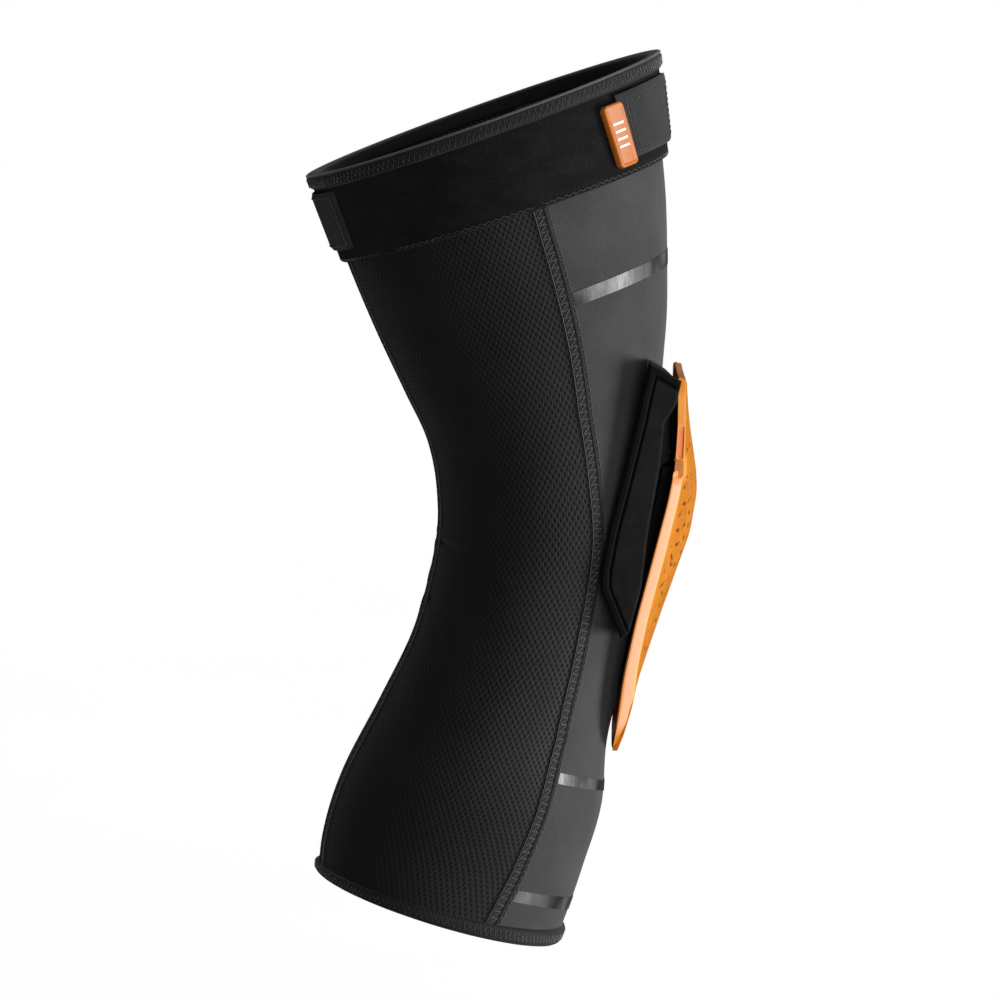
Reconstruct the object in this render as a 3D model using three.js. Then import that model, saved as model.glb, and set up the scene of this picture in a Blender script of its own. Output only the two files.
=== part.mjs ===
// Knee guard for a right leg: a pre-bent stretch sleeve with a moulded two-part knee cap,
// side wings, a loop cuff round the thigh and a hook-and-loop strap.
// Millimetres, +Z up, +X to the kneecap, -Y to the outer side of the leg; the origin is the knee's hinge.
import * as THREE from 'three';

const DEGREES = Math.PI / 180;

// ---- driving dimensions -------------------------------------------------------------------------

// Outer face of the sleeve from the thigh opening down to the calf opening.
// Each station is a flat slice of the leg: its rear and front edge (x, z) and its half width along Y.
const STATIONS = [
  { rear: [-96.5, 133], front: [44.5, 183], halfWidth: 70 },
  { rear: [-82.5, 96.5], front: [49, 139.5], halfWidth: 67 },
  { rear: [-70.5, 68], front: [51, 109], halfWidth: 63 },
  { rear: [-58.5, 42.5], front: [51, 78], halfWidth: 59 },
  { rear: [-49, 22], front: [49, 47], halfWidth: 56 },
  { rear: [-45, 0], front: [48.3, 14], halfWidth: 54 },
  { rear: [-46, -23], front: [46.5, -20], halfWidth: 53 },
  { rear: [-55, -57.5], front: [36.5, -64], halfWidth: 53 },
  { rear: [-69.5, -88], front: [27, -102], halfWidth: 54.5 },
  { rear: [-85, -118], front: [24, -133], halfWidth: 54 },
  { rear: [-93, -142], front: [16, -160], halfWidth: 51 },
  { rear: [-95.5, -161], front: [5, -191.5], halfWidth: 48 },
];
const LAST_STATION = STATIONS.length - 1;

const FABRIC = 3; // wall of the sleeve
const TRIM = 0.9; // seam tape, reflective tape
const GAP = 0.5; // between layers that touch on the real guard
const SLIT = 0.3; // between panels that meet edge to edge
const CUFF = 2; // loop band
const STRAP = 1.6; // elastic strap and hook tab

// Stations where the pieces begin and end.
const HEM_TOP_END = 0.12;
const SLEEVE_TOP = 0.14;
const CUFF_END = 0.98;
const THIGH_END = 3;
const KNEE_END = 7;
const SLEEVE_BOTTOM = 10.8;
const STRAP_FROM = 0.19;
const STRAP_TO = 0.82;

// Angles round the leg: 0 is the front, 90 the outer side, 180 the rear, 270 the inner side.
const SIDE_SEAM = [[0, 80], [4, 71.5], [5.3, 66], [8, 55.5], [10, 61], [LAST_STATION, 67]];
const REAR_SEAM = 167;
const SEAM_HALF_WIDTH = 3.7;
const TAB_FRONT = 8; // the hook tab peels back about this edge
const TAB_END = 42;
const LABEL_END = 50;
const TAB_LEAN = 7; // degrees that the tab's free end leans forward for each station down
const ANCHOR_FROM = 151;
const ANCHOR_TO = 186;

// Knee cap: at each height its rear edge, crown and half width, how deep its side is, and its wall.
const CAP_NOTCH = 15; // height of the gap where the upper cap flexes on the lower one
const CAP_NOTCH_GAP = 3.6;
const CAP_TOP = 53;
const CAP_BOTTOM = -110;
const CAP_EDGE = [
  [-110, 28], [-99, 29.2], [-75, 32.2], [-51, 37.1], [-24, 44.1], [1, 50.6], [14, 53], [30, 54.3],
  [CAP_TOP, 57],
];
const CAP_CROWN = [
  [-110, 29.8], [-100, 33.3], [-84, 37.4], [-50, 49.1], [-29, 56.6], [-17, 60.9], [0, 63.8],
  [10, 63.3], [26, 60.9], [36, 59.8], [CAP_TOP, 58.8],
];
const CAP_WIDTH = [
  [-110, 9], [-107, 17], [-100, 26], [-88, 32.6], [-60, 38], [-30, 41], [0, 42], [30, 40], [46, 37], [CAP_TOP, 31],
];
const CAP_SIDE = [[-110, 2], [-100, 4], [-84, 6], [-64, 5.2], [-24, 5], [14, 4.3], [30, 3.7], [CAP_TOP, 1.8]];
const CAP_WALL = [[-110, 1.9], [-84, 3.2], [-50, 4.2], [0, 4.3], [30, 3.4], [CAP_TOP, 1.8]];
const UPPER_LINER_BACK = 51.6;
const LINER_REACH = 0.7; // share of the cap's half width
const LINER_LIP = [[-110, 0.6], [-52, 0.8], [-25, 4], [CAP_NOTCH, 4]]; // lower foam, behind the cap's rear edge

// Side wing, seen from the side: rear and front edge (x, z) from the top corner to the bottom tip.
const WING_REAR = [[43.3, 58.8], [40.2, 47.5], [37.6, 35], [31.9, 12], [26, -11], [22.1, -33], [31, -56]];
const WING_FRONT = [[55.8, 50.4], [53.7, 40.8], [48.7, 33], [46.6, 14], [43, -7], [39.6, -32], [34.5, -53.5]];
const MEDIAL_WING_DROP = 9; // the inner wing's top corner sits this much lower
const WING_CLEAR = 2.2; // between the wing and the sleeve, seam tape included
const WING_INNER_MIN = 30;
const WING_LAP = 42.6; // the top corner laps over the cap's side this far out
const WING_LAP_FROM = 49.5;
const WING_LAP_FULL = 52;
const WING_OUTER = [[22, 50.5], [34, 49.5], [46, 47.5], [58, 45.5]];
const WING_BORDER = 0.2; // share of the wing's size taken by the raised border
const WING_FACE = 0.8;

// ---- materials ----------------------------------------------------------------------------------

const fabric = (color) => () => new THREE.MeshStandardMaterial({ color, roughness: 0.95, metalness: 0 });
const rubber = (color, roughness) => () => new THREE.MeshStandardMaterial({ color, roughness, metalness: 0 });
const greyStretch = fabric(0x565556);
const blackMesh = fabric(0x181818);
const seamThread = fabric(0x4a4a4c);
const loopPile = fabric(0x1b1b1c);
const binding = fabric(0x2c2b2c);
const webbing = fabric(0x312f2f);
const reflectiveTape = rubber(0x8b8b8c, 0.35);
const wingFoam = rubber(0x191919, 0.8);
const linerFoam = rubber(0x101011, 0.9);
const orangeCap = rubber(0xde8c34, 0.55);
const orangeLabel = rubber(0xe0913c, 0.5);
const silicone = rubber(0x2a2a2c, 0.4);

// ---- the leg's shape ----------------------------------------------------------------------------

const rearEdge = new THREE.CatmullRomCurve3(STATIONS.map(({ rear: [x, z] }) => new THREE.Vector3(x, 0, z)));
const frontEdge = new THREE.CatmullRomCurve3(STATIONS.map(({ front: [x, z] }) => new THREE.Vector3(x, 0, z)));
const widths = new THREE.CatmullRomCurve3(STATIONS.map(({ halfWidth }) => new THREE.Vector3(halfWidth, 0, 0)));

// A slice of the leg: its centre, the unit vector to its front edge, half depth and half width.
function slice(station) {
  const share = THREE.MathUtils.clamp(station / LAST_STATION, 0, 1);
  const rear = rearEdge.getPoint(share);
  const front = frontEdge.getPoint(share);
  const forward = front.clone().sub(rear);
  const halfDepth = forward.length() / 2;
  return {
    centre: rear.add(front).multiplyScalar(0.5),
    forward: forward.normalize(),
    halfDepth,
    halfWidth: widths.getPoint(share).x,
  };
}

// Point on the leg at an angle in degrees round the slice, `offset` mm outside the sleeve's outer face.
function legPoint(station, angle, offset) {
  const { centre, forward, halfDepth, halfWidth } = slice(station);
  const point = centre.addScaledVector(forward, (halfDepth + offset) * Math.cos(angle * DEGREES));
  point.y = -(halfWidth + offset) * Math.sin(angle * DEGREES);
  return point;
}

// Half width of the sleeve at a place (x, z) seen from the side, and 0 in front of it.
function sleeveHalfWidthAt(x, z) {
  let low = 0;
  let high = LAST_STATION;
  for (let step = 0; step < 30; step += 1) {
    const middle = (low + high) / 2;
    const { centre, forward } = slice(middle);
    const above = (z - centre.z) * forward.x - (x - centre.x) * forward.z;
    if (above > 0) high = middle;
    else low = middle;
  }
  const { centre, forward, halfDepth, halfWidth } = slice(low);
  const reach = ((x - centre.x) * forward.x + (z - centre.z) * forward.z) / halfDepth;
  return halfWidth * Math.sqrt(Math.max(0, 1 - reach * reach));
}

// Front face of the sleeve (x) at height z and distance y from the middle plane.
function sleeveFrontAt(y, z) {
  let low = 0;
  let high = 60;
  for (let step = 0; step < 30; step += 1) {
    const middle = (low + high) / 2;
    if (sleeveHalfWidthAt(middle, z) > Math.abs(y)) low = middle;
    else high = middle;
  }
  return low;
}

// Straight-line reading of a list of [position, value] pairs in rising order of position.
function read(pairs, position) {
  const next = Math.max(1, pairs.findIndex(([start]) => start >= position));
  const [[from, a], [to, b]] = [pairs[next - 1], pairs[next]];
  return THREE.MathUtils.lerp(a, b, THREE.MathUtils.clamp((position - from) / (to - from), 0, 1));
}

// ---- solids -------------------------------------------------------------------------------------

function signedVolume(points, faces) {
  return faces.reduce((sum, [a, b, c]) => {
    const normal = points[b].clone().cross(points[c]);
    return sum + points[a].dot(normal) / 6;
  }, 0);
}

// Turns a closed set of faces outward and gives it back as a geometry.
function closedGeometry(points, faces) {
  const outward = signedVolume(points, faces) > 0;
  const geometry = new THREE.BufferGeometry();
  geometry.setAttribute('position', new THREE.Float32BufferAttribute(points.flatMap((p) => p.toArray()), 3));
  geometry.setIndex(faces.flatMap(([a, b, c]) => (outward ? [a, b, c] : [a, c, b])));
  geometry.computeVertexNormals();
  return geometry;
}

// Solid between an inner sheet (side 0) and an outer sheet (side 1), each given by point(u, v, side).
function sheetSolid(point, stepsU, stepsV) {
  const points = [];
  const faces = [];
  const index = (side, i, j) => (side * (stepsV + 1) + j) * (stepsU + 1) + i;
  for (const side of [0, 1]) {
    for (let j = 0; j <= stepsV; j += 1) {
      for (let i = 0; i <= stepsU; i += 1) points.push(point(i / stepsU, j / stepsV, side));
    }
  }
  const quad = (a, b, c, d) => faces.push([a, b, c], [a, c, d]);
  for (let j = 0; j < stepsV; j += 1) {
    for (let i = 0; i < stepsU; i += 1) {
      quad(index(1, i, j), index(1, i + 1, j), index(1, i + 1, j + 1), index(1, i, j + 1));
      quad(index(0, i, j), index(0, i, j + 1), index(0, i + 1, j + 1), index(0, i + 1, j));
    }
  }
  for (let i = 0; i < stepsU; i += 1) {
    quad(index(0, i, 0), index(0, i + 1, 0), index(1, i + 1, 0), index(1, i, 0));
    quad(index(1, i, stepsV), index(1, i + 1, stepsV), index(0, i + 1, stepsV), index(0, i, stepsV));
  }
  for (let j = 0; j < stepsV; j += 1) {
    quad(index(0, 0, j), index(1, 0, j), index(1, 0, j + 1), index(0, 0, j + 1));
    quad(index(1, stepsU, j), index(0, stepsU, j), index(0, stepsU, j + 1), index(1, stepsU, j + 1));
  }
  return closedGeometry(points, faces);
}

// Closed hoop round the leg: section is a closed loop of [station, offset] pairs.
function hoopSolid(section, stepsRound) {
  const points = [];
  const faces = [];
  const count = section.length;
  for (let i = 0; i < stepsRound; i += 1) {
    for (const [station, offset] of section) points.push(legPoint(station, (360 * i) / stepsRound, offset));
  }
  for (let i = 0; i < stepsRound; i += 1) {
    const here = i * count;
    const there = ((i + 1) % stepsRound) * count;
    for (let k = 0; k < count; k += 1) {
      const next = (k + 1) % count;
      faces.push([here + k, there + k, there + next], [here + k, there + next, here + next]);
    }
  }
  return closedGeometry(points, faces);
}

// Patch of a layer wrapped on the leg; angles may depend on the station.
function wrapped({ stations, angles, offsets, steps }) {
  const at = (angle, station) => (typeof angle === 'function' ? angle(station) : angle);
  return sheetSolid((u, v, side) => {
    const station = THREE.MathUtils.lerp(stations[0], stations[1], v);
    const angle = THREE.MathUtils.lerp(at(angles[0], station), at(angles[1], station), u);
    return legPoint(station, angle, offsets[side]);
  }, steps[0], steps[1]);
}

const guard = new THREE.Group();

function add(name, geometry, material) {
  const mesh = new THREE.Mesh(geometry, material());
  mesh.name = name;
  guard.add(mesh);
}

// ---- sleeve -------------------------------------------------------------------------------------

// Angle that `width` mm covers on the leg's surface at a station.
function degreesFor(width, station) {
  const { halfDepth, halfWidth } = slice(station);
  return width / ((halfDepth + halfWidth) / 2) / DEGREES;
}

const outerSeam = (station) => read(SIDE_SEAM, station);
const innerSeam = (station) => 360 - outerSeam(station);
const shifted = (angle, width) => (station) => (
  (typeof angle === 'function' ? angle(station) : angle) + degreesFor(width, station)
);

const PANELS = [
  { name: 'front_panel', angles: [(s) => innerSeam(s) - 360, outerSeam], material: greyStretch, stepsRound: 14 },
  { name: 'mesh_panel_lateral', angles: [outerSeam, REAR_SEAM], material: blackMesh, stepsRound: 10 },
  { name: 'mesh_panel_medial', angles: [REAR_SEAM, innerSeam], material: blackMesh, stepsRound: 12 },
];
const SEAMS = [
  { name: 'seam_lateral', angle: outerSeam },
  { name: 'seam_medial', angle: innerSeam },
  { name: 'seam_rear', angle: REAR_SEAM },
];
const SECTIONS = [
  { name: 'thigh', stations: [SLEEVE_TOP, THIGH_END], steps: 6 },
  { name: 'knee', stations: [THIGH_END, KNEE_END], steps: 12 },
  { name: 'shank', stations: [KNEE_END, SLEEVE_BOTTOM], steps: 8 },
];
const STATION_SLIT = 0.008;

for (const section of SECTIONS) {
  const stations = [section.stations[0] + STATION_SLIT, section.stations[1] - STATION_SLIT];
  for (const panel of PANELS) {
    const angles = [shifted(panel.angles[0], SLIT / 2), shifted(panel.angles[1], -SLIT / 2)];
    const steps = [panel.stepsRound, section.steps];
    add(`${section.name}_${panel.name}`, wrapped({ stations, angles, offsets: [-FABRIC, 0], steps }), panel.material);
  }
  // The seams of the thigh start below the cuff, which covers them.
  const seamStations = [Math.max(stations[0], CUFF_END + STATION_SLIT * 2), stations[1]];
  for (const seam of SEAMS) {
    const angles = [shifted(seam.angle, -SEAM_HALF_WIDTH), shifted(seam.angle, SEAM_HALF_WIDTH)];
    const steps = [2, section.steps];
    add(
      `${section.name}_${seam.name}`,
      wrapped({ stations: seamStations, angles, offsets: [GAP, GAP + TRIM], steps }),
      seamThread,
    );
  }
}

// Folded binding that closes an end of the sleeve: a round-cornered hoop.
function hem(from, to, inner, outer) {
  const middle = [(from + to) / 2, (inner + outer) / 2];
  const reach = [(to - from) / 2, (outer - inner) / 2];
  const section = [];
  const corners = 12;
  for (let k = 0; k < corners; k += 1) {
    const turn = (2 * Math.PI * (k + 0.5)) / corners;
    // A squared-off circle: the fourth root keeps the sides nearly straight.
    const round = (value) => Math.sign(value) * Math.sqrt(Math.abs(value));
    section.push([middle[0] + reach[0] * round(Math.sin(turn)), middle[1] + reach[1] * round(Math.cos(turn))]);
  }
  return hoopSolid(section, 48);
}
add('top_hem', hem(0, HEM_TOP_END, -FABRIC - 1.2, CUFF + 1.4), binding);
add('bottom_hem', hem(SLEEVE_BOTTOM + 0.02, LAST_STATION, -FABRIC - 1, 2.2), binding);

// Silicone bands that keep the ends of the sleeve from slipping on the leg.
function gripper(from, to) {
  const inner = -FABRIC - GAP - 1.2;
  const outer = -FABRIC - GAP;
  return hoopSolid([[from, inner], [to, inner], [to, outer], [from, outer]], 36);
}
add('top_gripper', gripper(0.2, 0.6), silicone);
add('bottom_gripper', gripper(10.2, 10.7), silicone);

// Tape stripes across the front panel, from seam to seam; `rise` is how many stations the ends are higher.
function stripe(station, height, rise) {
  const clearOfSeam = SEAM_HALF_WIDTH + GAP;
  return sheetSolid((u, v, side) => {
    const across = 2 * u - 1;
    const at = station + height * (v - 0.5) - rise * Math.abs(across);
    const reach = outerSeam(at) - degreesFor(clearOfSeam, at);
    return legPoint(at, reach * across, GAP + side * TRIM);
  }, 14, 1);
}
add('thigh_tape_stripe', stripe(2.33, 0.22, 0), reflectiveTape);
add('shank_tape_stripe_upper', stripe(8.74, 0.16, 0.24), reflectiveTape);
add('shank_tape_stripe_lower', stripe(10.5, 0.18, 0.17), reflectiveTape);

// ---- cuff and strap -----------------------------------------------------------------------------

const cuffSection = [
  [SLEEVE_TOP, GAP], [CUFF_END, GAP], [CUFF_END, GAP + CUFF], [SLEEVE_TOP, GAP + CUFF],
];
add('loop_cuff', hoopSolid(cuffSection, 48), loopPile);

const strapInner = 2 * GAP + CUFF;
const strapOuter = strapInner + STRAP;
const hookInner = strapInner;
const hookOuter = hookInner + 0.7;
const strapStations = [STRAP_FROM, STRAP_TO];

const leaning = (angle) => (station) => angle - TAB_LEAN * (station - 0.5);

function onCuff(angles, offsets, stepsRound, stations = strapStations) {
  return wrapped({ stations, angles, offsets, steps: [stepsRound, 2] });
}
add('strap_anchor_tab', onCuff([ANCHOR_FROM, ANCHOR_TO], [strapInner, strapOuter], 6), webbing);
add('elastic_strap', onCuff([ANCHOR_TO + 0.4, 360 + TAB_FRONT - 0.5], [strapInner, strapOuter], 26), webbing);
add(
  'strap_hook_patch',
  onCuff([TAB_FRONT + 4, leaning(TAB_END - 3)], [hookInner, hookOuter], 6, [0.24, 0.77]),
  webbing,
);
add('strap_hook_tab', onCuff([TAB_FRONT, leaning(TAB_END)], [hookOuter + GAP, strapOuter + 0.6], 6), webbing);
const labelAngles = [leaning(TAB_END + 0.4), leaning(LABEL_END)];
add(
  'strap_pull_label',
  onCuff(labelAngles, [strapInner + 0.3, strapOuter + 1.2], 2, [0.25, 0.87]),
  orangeLabel,
);

// ---- knee cap and its foam ----------------------------------------------------------------------

// Height on the cap at share v, from its top down.
const capHeight = (range, v) => THREE.MathUtils.lerp(range[0], range[1], v);

// Front face of the cap (side 1) and its back face (side 0); across runs from -1 (outer side) to 1.
function capPoint(z, across, side) {
  const edge = read(CAP_EDGE, z) + read(CAP_SIDE, z);
  const rise = Math.max(0, read(CAP_CROWN, z) - edge);
  const front = edge + rise * (1 - Math.abs(across) ** 2.2);
  // The back face runs to the rear edge at the sides, where the moulding is deeper than its wall.
  const depth = THREE.MathUtils.lerp(read(CAP_WALL, z), read(CAP_SIDE, z), Math.abs(across) ** 6);
  return new THREE.Vector3(side ? front : front - depth, across * read(CAP_WIDTH, z), z);
}

function capShell(range, stepsAlong) {
  return sheetSolid((u, v, side) => capPoint(capHeight(range, v), 2 * u - 1, side), 14, stepsAlong);
}
const upperCap = [CAP_TOP, CAP_NOTCH + CAP_NOTCH_GAP / 2];
const lowerCap = [CAP_NOTCH - CAP_NOTCH_GAP / 2, CAP_BOTTOM];
add('upper_knee_cap', capShell(upperCap, 6), orangeCap);
add('lower_knee_cap', capShell(lowerCap, 14), orangeCap);

// Foam between the cap and the sleeve; its back face is given by back(y, z).
function capLiner(range, back, stepsAlong) {
  return sheetSolid((u, v, side) => {
    const z = capHeight(range, v);
    const point = capPoint(z, LINER_REACH * (2 * u - 1), 0);
    point.x -= GAP;
    if (!side) point.x = Math.min(back(point.y, z), point.x - 0.6);
    return point;
  }, 14, stepsAlong);
}
const lowerLinerBack = (y, z) => Math.max(sleeveFrontAt(y, z) + 0.9, read(CAP_EDGE, z) - read(LINER_LIP, z));
add('upper_cap_liner', capLiner([upperCap[0] - 2, upperCap[1] + 0.5], () => UPPER_LINER_BACK, 5), linerFoam);
add('lower_cap_liner', capLiner([lowerCap[0] - 0.5, -80], lowerLinerBack, 12), linerFoam);

// ---- side wings ---------------------------------------------------------------------------------

function wingPlace(u, v) {
  const place = (edge) => {
    const along = v * (edge.length - 1);
    const first = Math.min(Math.floor(along), edge.length - 2);
    const share = along - first;
    return [0, 1].map((axis) => THREE.MathUtils.lerp(edge[first][axis], edge[first + 1][axis], share));
  };
  const [rear, front] = [place(WING_REAR), place(WING_FRONT)];
  return [0, 1].map((axis) => THREE.MathUtils.lerp(rear[axis], front[axis], u));
}

function wingInner(x, z) {
  const onSleeve = Math.max(sleeveHalfWidthAt(x, z) + WING_CLEAR, WING_INNER_MIN);
  const lap = THREE.MathUtils.smoothstep(x, WING_LAP_FROM, WING_LAP_FULL);
  return THREE.MathUtils.lerp(onSleeve, WING_LAP, lap);
}

// Height of a wing point; the upper half of the inner wing leans down.
function wingHeight(side, z) {
  return side < 0 ? z : z - MEDIAL_WING_DROP * THREE.MathUtils.clamp((z - 10) / 50, 0, 1);
}

function wing(side) {
  return sheetSolid((u, v, outer) => {
    const [x, z] = wingPlace(u, v);
    return new THREE.Vector3(x, side * (outer ? read(WING_OUTER, x) : wingInner(x, z)), wingHeight(side, z));
  }, 6, 18);
}

// Textured face set inside the wing's border.
function wingFace(side) {
  return sheetSolid((u, v, outer) => {
    const inside = (share, border) => border + share * (1 - 2 * border);
    const [x, z] = wingPlace(inside(u, WING_BORDER), inside(v, WING_BORDER / 3));
    const y = read(WING_OUTER, x) + (outer ? SLIT + WING_FACE : SLIT);
    return new THREE.Vector3(x, side * y, wingHeight(side, z));
  }, 4, 14);
}

for (const [name, side] of [['lateral', -1], ['medial', 1]]) {
  add(`side_wing_${name}`, wing(side), wingFoam);
  add(`side_wing_face_${name}`, wingFace(side), wingFoam);
}

export default guard;
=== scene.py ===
import math

import bpy
import numpy as np
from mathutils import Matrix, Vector, noise


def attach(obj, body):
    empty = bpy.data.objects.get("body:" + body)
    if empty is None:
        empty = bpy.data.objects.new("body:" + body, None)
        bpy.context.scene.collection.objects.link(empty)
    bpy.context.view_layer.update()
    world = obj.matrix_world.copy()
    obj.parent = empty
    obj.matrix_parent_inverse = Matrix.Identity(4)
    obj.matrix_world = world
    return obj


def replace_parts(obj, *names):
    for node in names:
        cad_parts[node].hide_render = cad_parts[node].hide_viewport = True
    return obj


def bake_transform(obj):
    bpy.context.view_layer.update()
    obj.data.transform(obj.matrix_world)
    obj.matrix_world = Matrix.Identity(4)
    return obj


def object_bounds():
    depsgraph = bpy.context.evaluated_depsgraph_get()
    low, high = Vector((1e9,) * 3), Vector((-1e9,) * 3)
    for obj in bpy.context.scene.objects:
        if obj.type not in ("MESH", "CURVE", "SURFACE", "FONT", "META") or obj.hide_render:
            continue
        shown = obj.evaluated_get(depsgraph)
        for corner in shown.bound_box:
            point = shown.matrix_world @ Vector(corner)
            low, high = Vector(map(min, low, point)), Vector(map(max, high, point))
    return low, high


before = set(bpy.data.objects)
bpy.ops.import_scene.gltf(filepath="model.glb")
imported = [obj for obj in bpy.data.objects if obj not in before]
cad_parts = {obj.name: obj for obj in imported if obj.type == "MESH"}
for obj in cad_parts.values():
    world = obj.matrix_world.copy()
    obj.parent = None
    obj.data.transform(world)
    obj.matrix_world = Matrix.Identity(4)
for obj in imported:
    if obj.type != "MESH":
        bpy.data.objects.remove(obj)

CAD_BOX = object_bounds()
MM = 0.001

# ---- the leg's shape, as in the CAD ---------------------------------------------------------------
# Slices of the sleeve from the thigh opening down: rear x, rear z, front x, front z, half width, in mm.
STATIONS = MM * np.array([
    (-96.5, 133, 44.5, 183, 70),
    (-82.5, 96.5, 49, 139.5, 67),
    (-70.5, 68, 51, 109, 63),
    (-58.5, 42.5, 51, 78, 59),
    (-49, 22, 49, 47, 56),
    (-45, 0, 48.3, 14, 54),
    (-46, -23, 46.5, -20, 53),
    (-55, -57.5, 36.5, -64, 53),
    (-69.5, -88, 27, -102, 54.5),
    (-85, -118, 24, -133, 54),
    (-93, -142, 16, -160, 51),
    (-95.5, -161, 5, -191.5, 48),
])
LAST = len(STATIONS) - 1
HEM_TOP_END = 0.12
CUFF_END = 0.98
SLEEVE_TOP = 0.1
SLEEVE_BOTTOM = 10.82
SIDE_SEAM = np.array([(0, 80), (4, 71.5), (5.3, 66), (8, 55.5), (10, 61), (LAST, 67)])
REAR_SEAM = 167
FABRIC = 1.6 * MM
TAB_FRONT, TAB_END, LABEL_END = 8, 42, 50
TAB_LEAN = 7  # degrees that the tab's free end leans forward for each station down
ANCHOR_FROM, ANCHOR_TO = 151, 186
STRAP_FROM, STRAP_TO = 0.19, 0.82

# Knee cap: (height, value) pairs in mm.
CAP_EDGE = [(-110, 28), (-99, 29.2), (-75, 32.2), (-51, 37.1), (-24, 44.1), (1, 50.6), (14, 53), (30, 54.3),
            (53, 54.6)]
CAP_CROWN = [(-110, 29.8), (-100, 33.3), (-84, 37.4), (-50, 49.1), (-29, 56.6), (-17, 60.9), (0, 63.8),
             (10, 63.3), (26, 60.9), (36, 59.8), (53, 58.8)]
CAP_WIDTH = [(-110, 9), (-107, 17), (-100, 26), (-88, 32.6), (-60, 38), (-30, 41), (0, 42), (30, 40),
             (46, 37), (53, 33)]
CAP_SIDE = [(-110, 2), (-100, 4), (-84, 6), (-64, 5.2), (-24, 5), (14, 4.3), (30, 3.7), (53, 3.4)]
CAP_WALL = [(-110, 1.9), (-84, 3.2), (-50, 4.2), (0, 4.3), (30, 3.4), (53, 2.4)]
CAP_TOP, CAP_TOP_MIDDLE, CAP_BOTTOM, CAP_NOTCH, CAP_NOTCH_GAP = 51.5, 46, -110, 15, 3.6
SLOT_BOTTOM = 10.4  # the slit turns down to this height between the side strip and the dome
BRIDGE_HALF_WIDTH = 38  # the cap is one piece across the notch up to here
LINER_REACH = 0.7
LINER_LIP = [(-110, 0.6), (-52, 0.8), (-25, 4), (15, 4)]

# Side wing seen from the side: rear and front edge (x, z) from the top corner to the bottom tip.
WING_REAR = [(42.9, 58.2), (40.2, 47.5), (37.6, 35), (31.9, 12), (26, -11), (22.9, -27), (22.6, -35),
             (31, -56)]
WING_FRONT = [(55.8, 50.4), (53.7, 40.8), (48.7, 33), (47.3, 18), (44.8, 3), (42.1, -12), (39.4, -35),
              (34.5, -53.5)]
WING_OUTER = [(22, 50.5), (34, 49.5), (46, 47.5), (58, 45.5)]
WING_CLEAR = 1.6
WING_INNER_MIN, WING_LAP, WING_LAP_FROM, WING_LAP_FULL = 30, 42.6, 49.5, 52


def read(pairs, position):
    """Straight-line reading of (position, value) pairs."""
    pairs = np.asarray(sorted(map(tuple, pairs)), float)
    return np.interp(position, pairs[:, 0], pairs[:, 1])


def eased(pairs, position, reach=7):
    """Reading of (position, value) pairs with its corners rounded over `reach` mm."""
    steps = np.linspace(-1, 1, 9)
    weights = 1 - 0.9 * steps**2
    return sum(w * read(pairs, position + reach * t) for w, t in zip(weights, steps)) / weights.sum()


def stations_at(station):
    """Catmull-Rom reading of the leg's slices: rear x, rear z, front x, front z and half width."""
    rows = np.vstack([2 * STATIONS[0] - STATIONS[1], STATIONS, 2 * STATIONS[-1] - STATIONS[-2]])
    past_end = 0.2
    station = np.clip(np.asarray(station, float), -past_end, LAST + past_end)
    first = np.clip(np.floor(station).astype(int), 0, LAST - 1)
    t = (station - first)[..., None]
    a, b, c, d = (rows[first + k] for k in range(4))
    found = 0.5 * (2 * b + (c - a) * t + (2 * a - 5 * b + 4 * c - d) * t**2 + (3 * b - a - 3 * c + d) * t**3)
    return np.moveaxis(found, -1, 0)


def leg(station, angle, offset=0.0):
    """Points on the leg: angle in degrees (0 front, 90 outer side), offset in metres outside the sleeve."""
    station, angle, offset = np.broadcast_arrays(np.asarray(station, float), angle, offset)
    rear_x, rear_z, front_x, front_z, half_width = stations_at(station)
    depth = np.hypot(front_x - rear_x, front_z - rear_z)
    along = (depth / 2 + offset) * np.cos(np.radians(angle))
    x = (rear_x + front_x) / 2 + along * (front_x - rear_x) / depth
    z = (rear_z + front_z) / 2 + along * (front_z - rear_z) / depth
    y = -(half_width + offset) * np.sin(np.radians(angle))
    return np.stack([x, y, z], axis=-1)


def mean_radius(station):
    rear_x, rear_z, front_x, front_z, half_width = stations_at(station)
    return (np.hypot(front_x - rear_x, front_z - rear_z) / 2 + half_width) / 2


def degrees_for(width, station):
    return np.degrees(width / mean_radius(station))


def outer_seam(station):
    return read(SIDE_SEAM, station)


def inner_seam(station):
    return 360 - outer_seam(station)


def rear_seam(station):
    return REAR_SEAM + 0 * station


# ---- mesh tools -----------------------------------------------------------------------------------

def distances(line):
    """Distance along a line of points, from the first one to each of them."""
    return np.concatenate([[0], np.cumsum(np.linalg.norm(np.diff(line, axis=0), axis=1))])


def from_ends(count):
    """How many steps each of count places is from the nearer end."""
    return np.minimum(np.arange(count), np.arange(count)[::-1])


def ramp(value, start, width):
    """0 up to start, 1 from start + width on; width below zero makes it rise the other way."""
    return np.clip((value - start) / width, 0, 1)


def rounding(share, least=0.0):
    """Height of a round edge: 0 at its rim, share 0, and 1 from share 1 on."""
    return np.sqrt(np.clip(1 - (1 - np.clip(share, 0, 1)) ** 2, least, 1))


def unit(vectors):
    return vectors / np.maximum(np.linalg.norm(vectors, axis=1, keepdims=True), 1e-12)


def signed_volume(mesh):
    co = np.empty(len(mesh.vertices) * 3)
    mesh.vertices.foreach_get("co", co)
    mesh.calc_loop_triangles()
    tris = np.empty(len(mesh.loop_triangles) * 3, int)
    mesh.loop_triangles.foreach_get("vertices", tris)
    a, b, c = (co.reshape(-1, 3)[tris.reshape(-1, 3)[:, k]] for k in range(3))
    return float(np.einsum("ij,ij->i", a, np.cross(b, c)).sum())


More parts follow.
